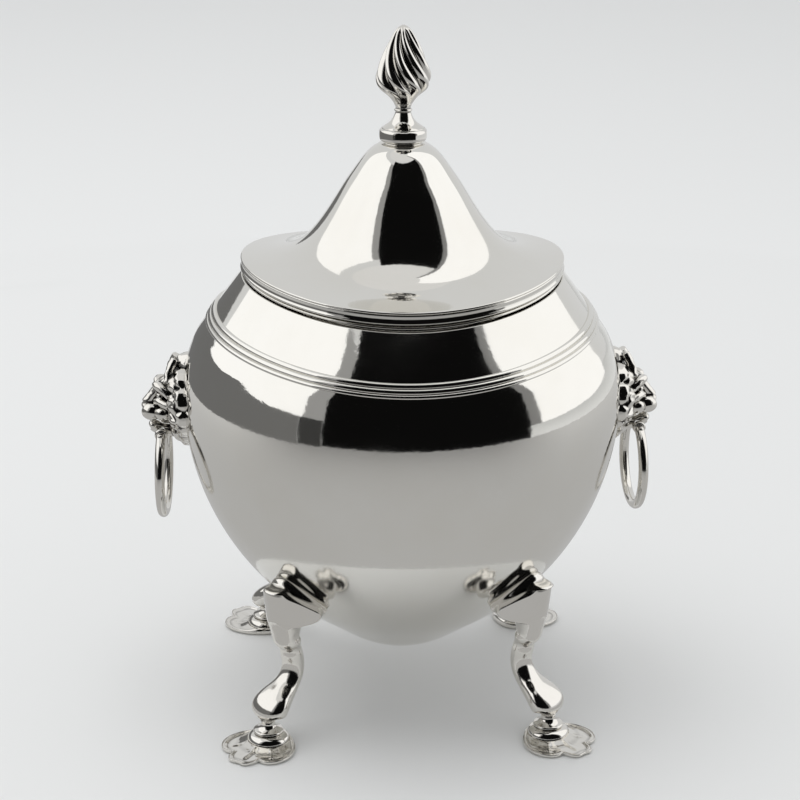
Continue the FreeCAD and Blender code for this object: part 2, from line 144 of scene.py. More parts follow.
def finish_piece(piece, body, slot, material, stands_for=()):
    """Clean and shade a mesh in metres, attach the piece to its CAD body and hide the CAD nodes it
    stands for; slot is not used.
    """
    mesh = piece.data
    work = bmesh.new()
    work.from_mesh(mesh)
    bmesh.ops.remove_doubles(work, verts=work.verts, dist=1e-7)
    bmesh.ops.recalc_face_normals(work, faces=work.faces)
    work.to_mesh(mesh)
    work.free()
    mesh.polygons.foreach_set("use_smooth", [True] * len(mesh.polygons))
    mesh.materials.clear()
    mesh.materials.append(material)
    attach(piece, body)
    if stands_for:
        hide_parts(*stands_for)


def ring_faces(rows, around, close_rows=False):
    """Quads between rows of equal rings."""
    faces = []
    last = rows if close_rows else rows - 1
    for row in range(last):
        upper = (row + 1) % rows
        for i in range(around):
            j = (i + 1) % around
            faces.append((row * around + i, row * around + j,
                          upper * around + j, upper * around + i))
    return faces


def end_caps(rows, around):
    """The two faces that close an open stack of rings."""
    return [tuple(reversed(range(around))), tuple(range((rows - 1) * around, rows * around))]


def swept(rows, place, around=AROUND, close_rows=False):
    """Vertices and faces of a surface given by place(row, angle)."""
    vertices = []
    for row in range(rows):
        for i in range(around):
            vertices.append(place(row, 2.0 * math.pi * i / around))
    return vertices, ring_faces(rows, around, close_rows)


def lathe(profile, around=AROUND, close_rows=False, centre=(0.0, 0.0)):
    def place(row, angle):
        radius, height = profile[row]
        return (centre[0] + radius * math.cos(angle), centre[1] + radius * math.sin(angle), height)
    return swept(len(profile), place, around, close_rows)


def merged(*parts):
    vertices = []
    faces = []
    for more_vertices, more_faces in parts:
        start = len(vertices)
        vertices += more_vertices
        faces += [tuple(index + start for index in face) for face in more_faces]
    return vertices, faces


def moved(part, matrix):
    return [tuple(matrix @ Vector(v)) for v in part[0]], part[1]


def turned(degrees):
    return Matrix.Rotation(math.radians(degrees), 4, "Z")


# ---- materials ----

def silver(name, base, low_rough, high_rough, scratch, dent, crease_tarnish_and_shade, satin=0.0):
    """Polished silver: haze, fine polishing scratches, soft hammered waviness, and dark recesses
    that are painted shade on tarnished metal.
    """
    material = bpy.data.materials.new(name)
    material.use_nodes = True
    nodes = material.node_tree.nodes
    links = material.node_tree.links
    shader = nodes["Principled BSDF"]
    shader.inputs["Metallic"].default_value = 1.0
    where = nodes.new("ShaderNodeTexCoord")

    haze = nodes.new("ShaderNodeTexNoise")
    haze.inputs["Scale"].default_value = 55.0
    haze.inputs["Detail"].default_value = 5.0
    haze.inputs["Roughness"].default_value = 0.6
    links.new(where.outputs["Object"], haze.inputs["Vector"])
    rough = nodes.new("ShaderNodeMapRange")
    rough.inputs["From Min"].default_value = 0.35
    rough.inputs["From Max"].default_value = 0.7
    rough.inputs["To Min"].default_value = low_rough
    rough.inputs["To Max"].default_value = high_rough
    links.new(haze.outputs["Fac"], rough.inputs["Value"])
    parts = nodes.new("ShaderNodeSeparateXYZ")
    links.new(where.outputs["Object"], parts.inputs["Vector"])
    worn = nodes.new("ShaderNodeMapRange")
    worn.interpolation_type = "SMOOTHSTEP"
    worn.inputs["From Min"].default_value = 0.066
    worn.inputs["From Max"].default_value = 0.054
    worn.inputs["To Min"].default_value = 0.0
    worn.inputs["To Max"].default_value = satin
    links.new(parts.outputs["Z"], worn.inputs["Value"])
    total = nodes.new("ShaderNodeMath")
    total.operation = "ADD"
    links.new(rough.outputs["Result"], total.inputs[0])
    links.new(worn.outputs["Result"], total.inputs[1])
    links.new(total.outputs["Value"], shader.inputs["Roughness"])

    tint = nodes.new("ShaderNodeMix")
    tint.data_type = "RGBA"
    tint.inputs["A"].default_value = base
    tint.inputs["B"].default_value = (base[0] * 0.93, base[1] * 0.915, base[2] * 0.88, 1.0)
    links.new(haze.outputs["Fac"], tint.inputs["Factor"])
    # Painted shade on tarnished metal: the base colour darkens in concave creases, read from
    # pointiness.
    geometry = nodes.new("ShaderNodeNewGeometry")
    crease_darkening_map = nodes.new("ShaderNodeMapRange")
    crease_darkening_map.inputs["From Min"].default_value = 0.45
    crease_darkening_map.inputs["From Max"].default_value = 0.497
    crease_darkening_map.inputs["To Min"].default_value = crease_tarnish_and_shade
    crease_darkening_map.inputs["To Max"].default_value = 1.0
    links.new(geometry.outputs["Pointiness"], crease_darkening_map.inputs["Value"])
    # Painted shade on tarnished metal: the base colour darkens where a point lies deep below the
    # softened form.
    deep_tarnish_and_shade = nodes.new("ShaderNodeAttribute")
    deep_tarnish_and_shade.attribute_name = "deep_tarnish_and_shade"
    deep_darkening_map = nodes.new("ShaderNodeMapRange")
    deep_darkening_map.inputs["To Min"].default_value = 1.0
    deep_darkening_map.inputs["To Max"].default_value = 0.05
    links.new(deep_tarnish_and_shade.outputs["Fac"], deep_darkening_map.inputs["Value"])
    dark = nodes.new("ShaderNodeMath")
    dark.operation = "MULTIPLY"
    links.new(crease_darkening_map.outputs["Result"], dark.inputs[0])
    links.new(deep_darkening_map.outputs["Result"], dark.inputs[1])
    shade = nodes.new("ShaderNodeMix")
    shade.data_type = "RGBA"
    shade.blend_type = "MULTIPLY"
    shade.inputs["Factor"].default_value = 1.0
    links.new(tint.outputs["Result"], shade.inputs["A"])
    links.new(dark.outputs["Value"], shade.inputs["B"])
    links.new(shade.outputs["Result"], shader.inputs["Base Color"])

    fine = nodes.new("ShaderNodeTexNoise")
    fine.inputs["Scale"].default_value = 900.0
    fine.inputs["Detail"].default_value = 3.0
    stretch = nodes.new("ShaderNodeMapping")
    stretch.inputs["Rotation"].default_value = (0.5, 0.7, 0.4)
    stretch.inputs["Scale"].default_value = (1.0, 0.12, 1.0)
    links.new(where.outputs["Object"], stretch.inputs["Vector"])
    links.new(stretch.outputs["Vector"], fine.inputs["Vector"])
    scratches = nodes.new("ShaderNodeBump")
    scratches.inputs["Strength"].default_value = scratch
    scratches.inputs["Distance"].default_value = 0.00002
    links.new(fine.outputs["Fac"], scratches.inputs["Height"])
    wave = nodes.new("ShaderNodeTexNoise")
    wave.inputs["Scale"].default_value = 34.0
    wave.inputs["Detail"].default_value = 1.0
    links.new(where.outputs["Object"], wave.inputs["Vector"])
    dents = nodes.new("ShaderNodeBump")
    dents.inputs["Strength"].default_value = 1.0
    dents.inputs["Distance"].default_value = dent
    links.new(wave.outputs["Fac"], dents.inputs["Height"])
    links.new(scratches.outputs["Normal"], dents.inputs["Normal"])
    links.new(dents.outputs["Normal"], shader.inputs["Normal"])
    return material


POLISHED = silver("polished_silver", (0.83, 0.82, 0.79, 1.0), 0.03, 0.09, 0.4, 0.00014, 0.85, 0.05)
CAST = silver("cast_silver", (0.80, 0.785, 0.755, 1.0), 0.05, 0.14, 0.3, 0.00003, 0.14)
FITTING = silver("fitting_silver", (0.72, 0.71, 0.68, 1.0), 0.16, 0.3, 0.5, 0.00003, 0.4)


# ---- the bowl's surface ----

BELLY_X = BOWL_RADIUS - BELLY_ARC
SHOULDER_X = BOWL_RADIUS - SHOULDER_ARC
FLANK_TOP = (BELLY_X + BELLY_ARC * math.cos(FLANK_ANGLE),
             BELLY_HEIGHT - BELLY_ARC * math.sin(FLANK_ANGLE))
FLANK_END = (FLANK_TOP[0] - FLANK_LENGTH * math.sin(FLANK_ANGLE),
             FLANK_TOP[1] - FLANK_LENGTH * math.cos(FLANK_ANGLE))
BASE_ARC = FLANK_END[0] / math.cos(FLANK_ANGLE)
BASE_Z = FLANK_END[1] + BASE_ARC * math.sin(FLANK_ANGLE)
BOWL_BOTTOM = BASE_Z - BASE_ARC
NECK_START = (SHOULDER_X + SHOULDER_ARC * math.cos(COLLAR_ANGLE),
              BELLY_HEIGHT + SHOULDER_ARC * math.sin(COLLAR_ANGLE))


def turned_radius(height):
    """Radius of the turned form at a height above the flank's end."""
    if height >= NECK_START[1]:
        return NECK_START[0] - (height - NECK_START[1]) * math.tan(COLLAR_ANGLE)
    if height >= BELLY_HEIGHT:
        return SHOULDER_X + math.sqrt(SHOULDER_ARC ** 2 - (height - BELLY_HEIGHT) ** 2)
    if height >= FLANK_TOP[1]:
        return BELLY_X + math.sqrt(BELLY_ARC ** 2 - (BELLY_HEIGHT - height) ** 2)
    if height >= FLANK_END[1]:
        return FLANK_TOP[0] - (FLANK_TOP[1] - height) * math.tan(FLANK_ANGLE)
    return math.sqrt(max(BASE_ARC ** 2 - (BASE_Z - height) ** 2, 0.0))


def meridian():
    """The smooth outline from the pole to the shoulder, as (radius, height)."""
    knots = [BOWL_BOTTOM + 0.35, 12.6, 16.5, 22.0, 30.0, 40.0, 50.0, 60.0, 68.0, 74.0, 79.0]
    half = [(turned_radius(height), height) for height in knots]
    mirrored = [(-radius, height) for radius, height in reversed(half)]
    whole = spline(mirrored + [(0.0, BOWL_BOTTOM)] + half, 401)
    return [(max(radius, 0.0), height) for radius, height in whole[200:]]


MERIDIAN = meridian()


def belly_radius(height):
    """Radius of the smooth outline at a height."""
    for (low_r, low_z), (high_r, high_z) in zip(MERIDIAN, MERIDIAN[1:]):
        if low_z <= height <= high_z:
            return low_r + (high_r - low_r) * (height - low_z) / (high_z - low_z)
    return turned_radius(height)


def neck_radius(height, angle):
    """The narrower oval of the neck, blended softly with the turned form."""
    turn = turned_radius(height)
    rise = (height - NECK_BASE_HEIGHT) / (NECK_TOP_HEIGHT - NECK_BASE_HEIGHT)
    side = NECK_BASE_RADIUS + (NECK_TOP_SIDE - NECK_BASE_RADIUS) * rise
    front = NECK_BASE_RADIUS + (NECK_TOP_FRONT - NECK_BASE_RADIUS) * rise
    oval = 1.0 / math.hypot(math.cos(angle) / side, math.sin(angle) / front)
    blend = 0.6
    return 0.5 * (turn + oval - math.hypot(turn - oval, blend)) + 0.02


def bow_drop(across, bow):
    """How far a line bowed to the radius bow has fallen at a distance across."""
    return bow - math.sqrt(bow * bow - across * across)


def on_bow(top, bow, angle, radius_at):
    """Radius and height where the wall at an angle meets a bowed line."""
    height = top
    for _ in range(6):
        radius = radius_at(height, angle)
        height = top - bow_drop(radius * math.sin(angle), bow)
    return radius, height


SMOOTH_TOP = MERIDIAN[-1][1]
NECK_ROWS = 70


def outer_rows():
    """Rows of the outside wall, from the pole to the mouth, for each angle."""
    mouth = [on_bow(MOUTH_HEIGHT - 0.8, MOUTH_BOW, 2.0 * math.pi * i / AROUND, neck_radius)
             for i in range(AROUND)]

    def place(row, angle):
        if row < len(MERIDIAN):
            radius, height = MERIDIAN[row]
        else:
            step = (row - len(MERIDIAN) + 1) / NECK_ROWS
            index = round(angle * AROUND / (2.0 * math.pi)) % AROUND
            height = SMOOTH_TOP + (mouth[index][1] - SMOOTH_TOP) * step
            mixed = smoothstep(SMOOTH_TOP, SMOOTH_TOP + 3.0, height)
            radius = turned_radius(height) * (1.0 - mixed) + neck_radius(height, angle) * mixed
        return (radius * math.cos(angle), radius * math.sin(angle), height)
    return len(MERIDIAN) + NECK_ROWS, place


def bowl_body():
    """The raised bowl: its outside wall, and the inside one wall thickness in."""
    rows, place = outer_rows()
    inner_steps = 60

    def both(row, angle):
        if row < rows:
            return place(row, angle)
        back = (row - rows) / (inner_steps - 1)
        source = round((rows - 1) * (1.0 - back))
        x, y, z = place(source, angle)
        radius = math.hypot(x, y)
        below = place(max(source - 2, 0), angle)
        above = place(min(source + 2, rows - 1), angle)
        slope = Vector((math.hypot(*above[:2]) - math.hypot(*below[:2]), above[2] - below[2]))
        slope.normalize()
        radius -= slope.y * WALL
        z += slope.x * WALL
        radius = max(radius, 0.0)
        return (radius * math.cos(angle), radius * math.sin(angle), z)
    shape = swept(rows + inner_steps, both)
    new_object("bowl_body", *shape, "bowl", "polished_silver", POLISHED, ("bowl_shell",))


def wall_frame(angle, height):
    """A point on the neck wall, its outward normal and its downward tangent in the meridian."""
    step = 0.05
    radius = neck_radius(height, angle)
    above = neck_radius(height + step, angle)
    below = neck_radius(height - step, angle)
    down = Vector((below - above, -2.0 * step)).normalized()
    return Vector((radius, height)), Vector((-down.y, down.x)), down


def reeds():
    """Three half-round reeds that follow the bowed band line."""
    reed_widths = [1.22, 1.22, 0.95]
    section = []
    along = 0.0
    for width in reed_widths:
        for i in range(13):
            angle = math.pi * i / 12
            rise = 0.62 * width * 0.5 * 1.25 * math.sin(angle) ** 0.8 + 0.12
            section.append((along + width * 0.5 * (1.0 - math.cos(angle)), rise))
        along += width
    section = [(-0.02, -0.3)] + section + [(along + 0.02, -0.3)]

    def place(row, angle):
        offset, lift = section[row]
        _, top = on_bow(BAND_HEIGHT, BAND_BOW, angle, neck_radius)
        _, _, down = wall_frame(angle, top)
        point, normal, _ = wall_frame(angle, top + down.y * offset)
        radius, height = point + normal * lift
        return (radius * math.cos(angle), radius * math.sin(angle), height)
    shape = swept(len(section), place, AROUND, close_rows=True)
    new_object("band_reeds", *shape, "bowl", "polished_silver", POLISHED, ("reeded_band",))


def mouth_edge():
    """The rounded wire along the bowl's mouth."""
    count = 20

    def place(row, angle):
        turn = 2.0 * math.pi * row / count
        radius, height = on_bow(MOUTH_HEIGHT, MOUTH_BOW, angle, neck_radius)
        radius += -0.35 + 0.72 * math.cos(turn)
        height += -0.45 + 0.44 * math.sin(turn)
        return (radius * math.cos(angle), radius * math.sin(angle), height)
    shape = swept(count, place, AROUND, close_rows=True)
    new_object("mouth_edge", *shape, "bowl", "polished_silver", POLISHED, ("mouth_wire",))


# ---- lid ----

BELL_POINTS = [(4.7, 23.25), (6.6, 22.0), (8.5, 19.9), (10.0, 17.8), (11.4, 15.8), (12.8, 13.6),
               (14.2, 11.3), (15.8, 8.8), (17.5, 6.4), (19.4, 4.15), (21.6, 2.3), (24.3, 0.95),
               (27.2, 0.25), (30.2, 0.0), (33.1, 0.0)]


def lid_drop(radius, angle):
    """How far the bowed flange falls, fading out up the bell."""
    across = radius * math.sin(angle)
    return bow_drop(across, MOUTH_BOW) * smoothstep(9.0, 27.0, radius)


def lid_cover():
    """The bell and its flange as one sheet, with a hole for the finial's stud."""
    upper = spline(BELL_POINTS, 130)
    upper = [(0.4, BELL_POINTS[0][1])] + upper
    edge = arc((33.1, -0.28), 0.28, 90.0, -60.0, 7)
    under = [(32.6, -0.8)]
    for radius, height in reversed(upper[2::2]):
        if radius < 32.0:
            under.append((max(radius - 0.55, 1.3), height - 0.75))
    under.append((1.3, under[-1][1]))
    profile = upper + edge + under

    def place(row, angle):
        radius, height = profile[row]
        height += LID_HEIGHT - lid_drop(radius, angle)
        return (radius * math.cos(angle), radius * math.sin(angle), height)
    shape = swept(len(profile), place, AROUND, close_rows=True)
    new_object("lid_cover", *shape, "lid", "polished_silver", POLISHED, ("lid_shell",))


def lid_hoop(name, section, node):
    """A hoop of the given section (radius, height above the flange's top), following the bow."""
    def place(row, angle):
        radius, height = section[row]
        height += LID_HEIGHT - bow_drop(radius * math.sin(angle), MOUTH_BOW)
        return (radius * math.cos(angle), radius * math.sin(angle), height)
    shape = swept(len(section), place, AROUND, close_rows=True)
    new_object(name, *shape, "lid", "polished_silver", POLISHED, (node,))


def lid_edges():
    outer = [(33.28, -0.55), (33.3, -0.8), (33.26, -1.2), (33.22, -1.75)]
    lip = arc((33.15, -2.2), 0.33, 50.0, -80.0, 9)
    inside = [(32.8, -2.55), (32.4, -2.5), (32.35, -0.82), (32.9, -0.6)]
    lid_hoop("lid_rim", outer + lip + inside, "lid_rim_wire")
    bezel = [(30.4, -0.85), (30.4, -8.4), (30.3, -8.8), (30.0, -8.95), (29.7, -8.8),
             (29.6, -8.4), (29.6, -0.85)]
    lid_hoop("bezel_ring", bezel, "lid_bezel")


# ---- finial ----

COLLAR_HEIGHT = 120.2
COLLAR_TALL = 3.1


def finial_turnings():
    """The collar on the bell's top, and the waisted stem that carries the flame."""
    top = COLLAR_HEIGHT
    collar = [(1.25, top)] + spline(
        [(3.9, top), (3.95, top + 0.35), (4.55, top + 0.6), (4.85, top + 1.3), (4.85, top + 2.2),
         (4.75, top + 2.75), (4.4, top + COLLAR_TALL)], 28) + [(1.25, top + COLLAR_TALL)]
    new_object("finial_knop", *lathe(collar, 96, True), "lid", "cast_silver", CAST,
               ("finial_collar",))
    base = top + COLLAR_TALL
    stem = [(1.25, base)] + spline(
        [(4.35, base), (3.85, base + 0.4), (3.0, base + 1.0), (2.2, base + 1.9),
         (1.7, base + 2.9), (1.55, base + 3.4)], 26)
    stem += spline([(1.55, base + 3.4), (1.78, base + 3.55), (1.8, base + 3.85),
                    (1.5, base + 4.05)], 10)[1:]
    stem += spline([(1.5, base + 4.05), (1.65, base + 4.5), (1.9, base + 5.05)], 8)[1:]
    stem += [(1.25, base + 5.05)]
    new_object("finial_neck", *lathe(stem, 96, True), "lid", "cast_silver", CAST,
               ("finial_stem",))


FLAME_POINTS = [(1.9, 128.35), (2.5, 129.2), (3.6, 130.3), (4.85, 131.4), (5.5, 132.6),
                (5.65, 133.9), (5.35, 135.3), (4.45, 137.7), (3.3, 140.2), (2.1, 142.4),
                (1.0, 143.75), (0.25, 144.15)]
FLUTES = 9
FLAME_TWIST = math.radians(125.0)
FLUTE_DEPTH = 1.35


def finial_flame():
    """Twisted flame: rounded ridges with narrow grooves, closing at the base and the tip."""
    outline = spline(FLAME_POINTS, 130)
    low = FLAME_POINTS[0][1]
    tall = FLAME_POINTS[-1][1] - low

    def place(row, angle):
        if row == 0:
            return (0.3 * math.cos(angle), 0.3 * math.sin(angle), low)
        if row > len(outline):
            return (0.02 * math.cos(angle), 0.02 * math.sin(angle), low + tall)
        radius, height = outline[row - 1]
        share = (height - low) / tall
        twist = FLAME_TWIST * share ** 0.75
        wave = abs(math.sin(0.5 * FLUTES * (angle + twist)))
        depth = FLUTE_DEPTH * smoothstep(0.05, 0.3, share) * (1.0 - smoothstep(0.88, 1.0, share))
        radius -= depth * (1.0 - wave ** 0.8) * min(radius / 4.5, 1.0)
        return (radius * math.cos(angle), radius * math.sin(angle), height)
    shape = swept(len(outline) + 2, place, 528)
    new_object("twisted_flame", *shape, "lid", "cast_silver", CAST, ("finial_flame",))


# ---- sculpted castings: rough forms joined by a voxel remesh, then smoothed ----

def ball(centre, radii, lean=0.0, segments=24):
    """An ellipsoid; lean tips it about the sideways axis, in degrees."""
    vertices = [(0.0, 0.0, -1.0)]
    rings = segments // 2
    for row in range(1, rings):
        polar = math.pi * row / rings
        for i in range(segments):
            angle = 2.0 * math.pi * i / segments
            vertices.append((math.sin(polar) * math.cos(angle),
                             math.sin(polar) * math.sin(angle), -math.cos(polar)))
    vertices.append((0.0, 0.0, 1.0))
    faces = []
    for i in range(segments):
        j = (i + 1) % segments
        faces.append((0, 1 + j, 1 + i))
        for row in range(rings - 2):
            a = 1 + row * segments
            b = a + segments
            faces.append((a + i, a + j, b + j, b + i))
        a = 1 + (rings - 2) * segments
        faces.append((a + i, a + j, len(vertices) - 1))
    tip = Matrix.Rotation(math.radians(lean), 4, "Y")
    scale = Matrix.Diagonal((*radii, 1.0))
    return moved((vertices, faces), Matrix.Translation(centre) @ tip @ scale)


def tube(path, radii, sides=16, hint=(0.0, 1.0, 0.0)):
    """A closed tube along 3-D points; hint is a direction the path never runs along."""
    vertices = []
    count = len(path)
    for i, point in enumerate(path):
        before = Vector(path[max(i - 1, 0)])
        after = Vector(path[min(i + 1, count - 1)])
        along = (after - before).normalized()
        across = along.cross(Vector(hint)).normalized()
        side = across.cross(along).normalized()
        for k in range(sides):
            angle = 2.0 * math.pi * k / sides
            offset = (across * math.cos(angle) + side * math.sin(angle)) * radii[i]
            vertices.append(tuple(Vector(point) + offset))
    return vertices, ring_faces(count, sides) + end_caps(count, sides)


def sculpt(name, parts, voxel, smooth_steps):
    """Join the parts into one smoothed skin: an object that is still in millimetres."""
    vertices, faces = merged(*parts)
    mesh = bpy.data.meshes.new(name)
    mesh.from_pydata(vertices, [], faces)
    piece = bpy.data.objects.new(name, mesh)
    bpy.context.scene.collection.objects.link(piece)
    remesh = piece.modifiers.new("skin", "REMESH")
    remesh.mode = "VOXEL"
    remesh.voxel_size = voxel
    soften = piece.modifiers.new("soften", "SMOOTH")
    soften.factor = 0.5
    soften.iterations = smooth_steps
    graph = bpy.context.evaluated_depsgraph_get()
    made = bpy.data.meshes.new_from_object(piece.evaluated_get(graph))
    piece.modifiers.clear()
    old = piece.data
    piece.data = made
    bpy.data.meshes.remove(old)
    return piece


def softened(piece, steps, group=""):
    """A smoothed copy of the piece's mesh, within a vertex group if one is named."""
    soften = piece.modifiers.new("softer", "SMOOTH")
    soften.factor = 0.5
    soften.iterations = steps
    soften.vertex_group = group
    graph = bpy.context.evaluated_depsgraph_get()
    soft = bpy.data.meshes.new_from_object(piece.evaluated_get(graph))
    piece.modifiers.clear()
    return soft


def soften_where(piece, chosen, steps):
    """Smooth only the points that chosen accepts."""
    group = piece.vertex_groups.new(name="soft")
    group.add([v.index for v in piece.data.vertices if chosen(v.co)], 1.0, "REPLACE")
    soft = softened(piece, steps, "soft")
    for vertex, target in zip(piece.data.vertices, soft.vertices):
        vertex.co = target.co
    piece.vertex_groups.clear()
    bpy.data.meshes.remove(soft)


def mark_deep_tarnish_and_shade(piece, shallow, deep, steps):
    """Store how far each point lies below the softened form; deep places are darkened, as painted
    shade on tarnished metal.
    """
    soft = softened(piece, steps)
    normals = [vertex.normal.copy() for vertex in piece.data.vertices]
    layer = piece.data.attributes.new("deep_tarnish_and_shade", "FLOAT", "POINT")
    values = []
    for vertex, target, normal in zip(piece.data.vertices, soft.vertices, normals):
        values.append(smoothstep(shallow, deep, (target.co - vertex.co).dot(normal)))
    layer.data.foreach_set("value", values)
    bpy.data.meshes.remove(soft)


def placed_copies(source, names, turns, body, slot, material, nodes, mirror=()):
    """Copies of a sculpted piece turned about Z, in metres; the source is removed."""
    for index, (name, turn, node) in enumerate(zip(names, turns, nodes)):
        mesh = source.data.copy()
        mesh.name = name
        matrix = turned(turn)
        if index in mirror:
            matrix = matrix @ Matrix.Diagonal((1.0, -1.0, 1.0, 1.0))
        mesh.transform(Matrix.Scale(MM, 4) @ matrix)
        piece = bpy.data.objects.new(name, mesh)
        bpy.context.scene.collection.objects.link(piece)
        finish_piece(piece, body, slot, material, node)
    bpy.data.objects.remove(source)


def wall_point(sideways, height, lift=0.0):
    """A point over the bowl's wall near +X, at a sideways distance and height."""
    radius = belly_radius(height) if height < SMOOTH_TOP else turned_radius(height)
    radius += lift
    return (math.sqrt(max(radius ** 2 - sideways ** 2, 0.0)), sideways, height)


# ---- legs and feet ----

LEG_TURNS = [225.0, -45.0, 135.0, 45.0]
CORNERS = ["front_left", "front_right", "back_left", "back_right"]
FOOT_X = 41.2
# The knee's shield: where its side wings end, and the plane its face is dressed to.
WING_TIP = (33.5, 6.1, 28.5)
FACE_FOOT = 24.6
FACE_TOP = 33.4
FACE_X = 38.9
FACE_LEAN = 0.13
FACE_CROWN = 0.1
LEG_PATH = [
    # radius, height, half width, half thickness
    (38.3, 34.3, 2.1, 2.3), (38.2, 33.7, 2.8, 2.8), (37.9, 32.7, 3.3, 3.1), (37.2, 31.2, 3.8, 3.4),
    (36.3, 29.2, 4.2, 3.5), (35.7, 26.4, 4.1, 3.1), (35.7, 24.2, 3.4, 2.6), (35.5, 22.4, 3.1, 2.4),
    (35.1, 21.3, 3.2, 2.4), (34.7, 20.6, 2.75, 2.1), (34.2, 18.8, 2.65, 2.1),
    (33.7, 16.4, 2.6, 2.1), (34.0, 14.0, 2.6, 2.1), (35.6, 11.8, 2.9, 2.1), (37.9, 10.0, 3.6, 2.3),
    (39.9, 8.5, 4.3, 2.5), (41.0, 7.3, 4.2, 2.5), (41.3, 6.5, 3.0, 2.2), (41.2, 5.9, 1.7, 1.7),
    (41.2, 5.3, 1.5, 1.5),
]


def leg_section(index, sides):
    """One cross-section of the leg, square to its centre line, flatter on its outer face."""
    radius, height, wide, thick = LEG_PATH[index]
    before = LEG_PATH[max(index - 1, 0)]
    after = LEG_PATH[min(index + 1, len(LEG_PATH) - 1)]
    along = Vector((after[0] - before[0], after[1] - before[1])).normalized()
    outward = Vector((-along.y, along.x))
    if outward.x < 0:
        outward = -outward
    flatness = 0.6 if height > 22.0 or height < 10.5 else 1.0
    points = []
    for k in range(sides):
        angle = 2.0 * math.pi * k / sides
        out = math.cos(angle)
        side = math.sin(angle)
        if out > 0:
            out = out ** flatness
        points.append((radius + outward.x * out * thick, side * wide,
                       height + outward.y * out * thick))
    return points


def leg_stem():
    """The whole leg from knee to ankle, through its cross-sections."""
    sides = 28
    rows = 90
    rings = [leg_section(i, sides) for i in range(len(LEG_PATH))]
    dense = []
    for k in range(sides):
        dense.append(spline([ring[k] for ring in rings], rows))
    vertices = [dense[k][row] for row in range(rows) for k in range(sides)]
    return vertices, ring_faces(rows, sides) + end_caps(rows, sides)


def leg_sculpture():
    """The leg with its knee: a flat-faced shield whose rolled top edge hugs the bowl."""
    sink = 0.6
    arch = [wall_point(side, height, 0.95) for side, height in
            ((-6.1, 28.0), (-5.1, 29.9), (-3.6, 32.0), (-1.9, 33.8), (0.0, 34.6), (1.9, 33.8),
             (3.6, 32.0), (5.1, 29.9), (6.1, 28.0))]
    roll = tube(spline(arch, 49), [1.45 - 0.2 * abs(i / 24 - 1.0) for i in range(49)], 16,
                (0.9, 0.0, 0.45))
    parts = [leg_stem(), roll]
    for sign in (-1.0, 1.0):
        for step in range(6):
            height = 32.0 - 0.85 * step
            start = (38.1 - 0.2 * step, (1.0 + 0.26 * step) * sign, height)
            middle = (36.6 - 0.08 * step, (3.6 + 0.12 * step) * sign, 0.55 * height + 0.45 * 28.4)
            end = (WING_TIP[0], WING_TIP[1] * sign, WING_TIP[2] - 0.06 * step)
            wing = spline([start, middle, end], 14)
            parts.append(tube(wing, [2.2 - 0.6 * (i / 13) ** 1.5 for i in range(14)], 16))
        parts.append(ball((33.5, 6.0 * sign, 28.4), (1.75, 1.75, 1.75)))
    leg = sculpt("leg_sculpture", parts, 0.2, 8)
    soften_where(leg, lambda point: point.z > 26.2, 45)
    for vertex in leg.data.vertices:
        x, y, z = vertex.co
        if FACE_FOOT < z < FACE_TOP:
            plane = FACE_X + FACE_LEAN * (z - 26.0) - FACE_CROWN * y * y
            x = min(x, plane)
            vertex.co.x = x
        keep_out = belly_radius(max(z, BOWL_BOTTOM + 0.4)) + 0.02
        radius = math.hypot(x, y)
        if z > 20.0 and radius < keep_out - sink:
            vertex.co.x = x * (keep_out - sink) / radius
            vertex.co.y = y * (keep_out - sink) / radius
    mark_deep_tarnish_and_shade(leg, 0.02, 0.16, 100)
    names = ["cast_leg_" + corner for corner in CORNERS]
    nodes = [("leg_" + corner,) for corner in CORNERS]
    placed_copies(leg, names, LEG_TURNS, "bowl", "cast_silver", CAST, nodes)


# Half outline of the pad about the foot's axis: degrees from the outward direction, radius.
TOE_EDGE = [(-22.0, 8.8), (-16.0, 10.2), (-9.0, 11.2), (0.0, 11.0), (9.0, 11.2), (16.0, 10.2),
            (22.0, 8.8)]
SIDE_EDGE = [(22.0, 8.8), (30.0, 9.6), (40.0, 9.8), (50.0, 9.5), (62.0, 8.8), (80.0, 7.4),
             (105.0, 5.8), (125.0, 5.1), (150.0, 4.7), (180.0, 4.7)]
# The front pads are turned towards the front, and the back pads towards the back.
PAD_TURN = 9.0


def read_off(curve, place):
    """The value of a curve of (place, value) points at a place."""
    for (low, before), (high, after) in zip(curve, curve[1:]):
        if low <= place <= high:
            return before + (after - before) * (place - low) / (high - low)
    return curve[-1][1]


def pad_outline(toe, side, degrees):
    """Radius of the three-lobed pad about the foot's axis."""
    if degrees > 180.0:
        degrees = 360.0 - degrees
    return read_off(toe if degrees < 22.0 else side, degrees)


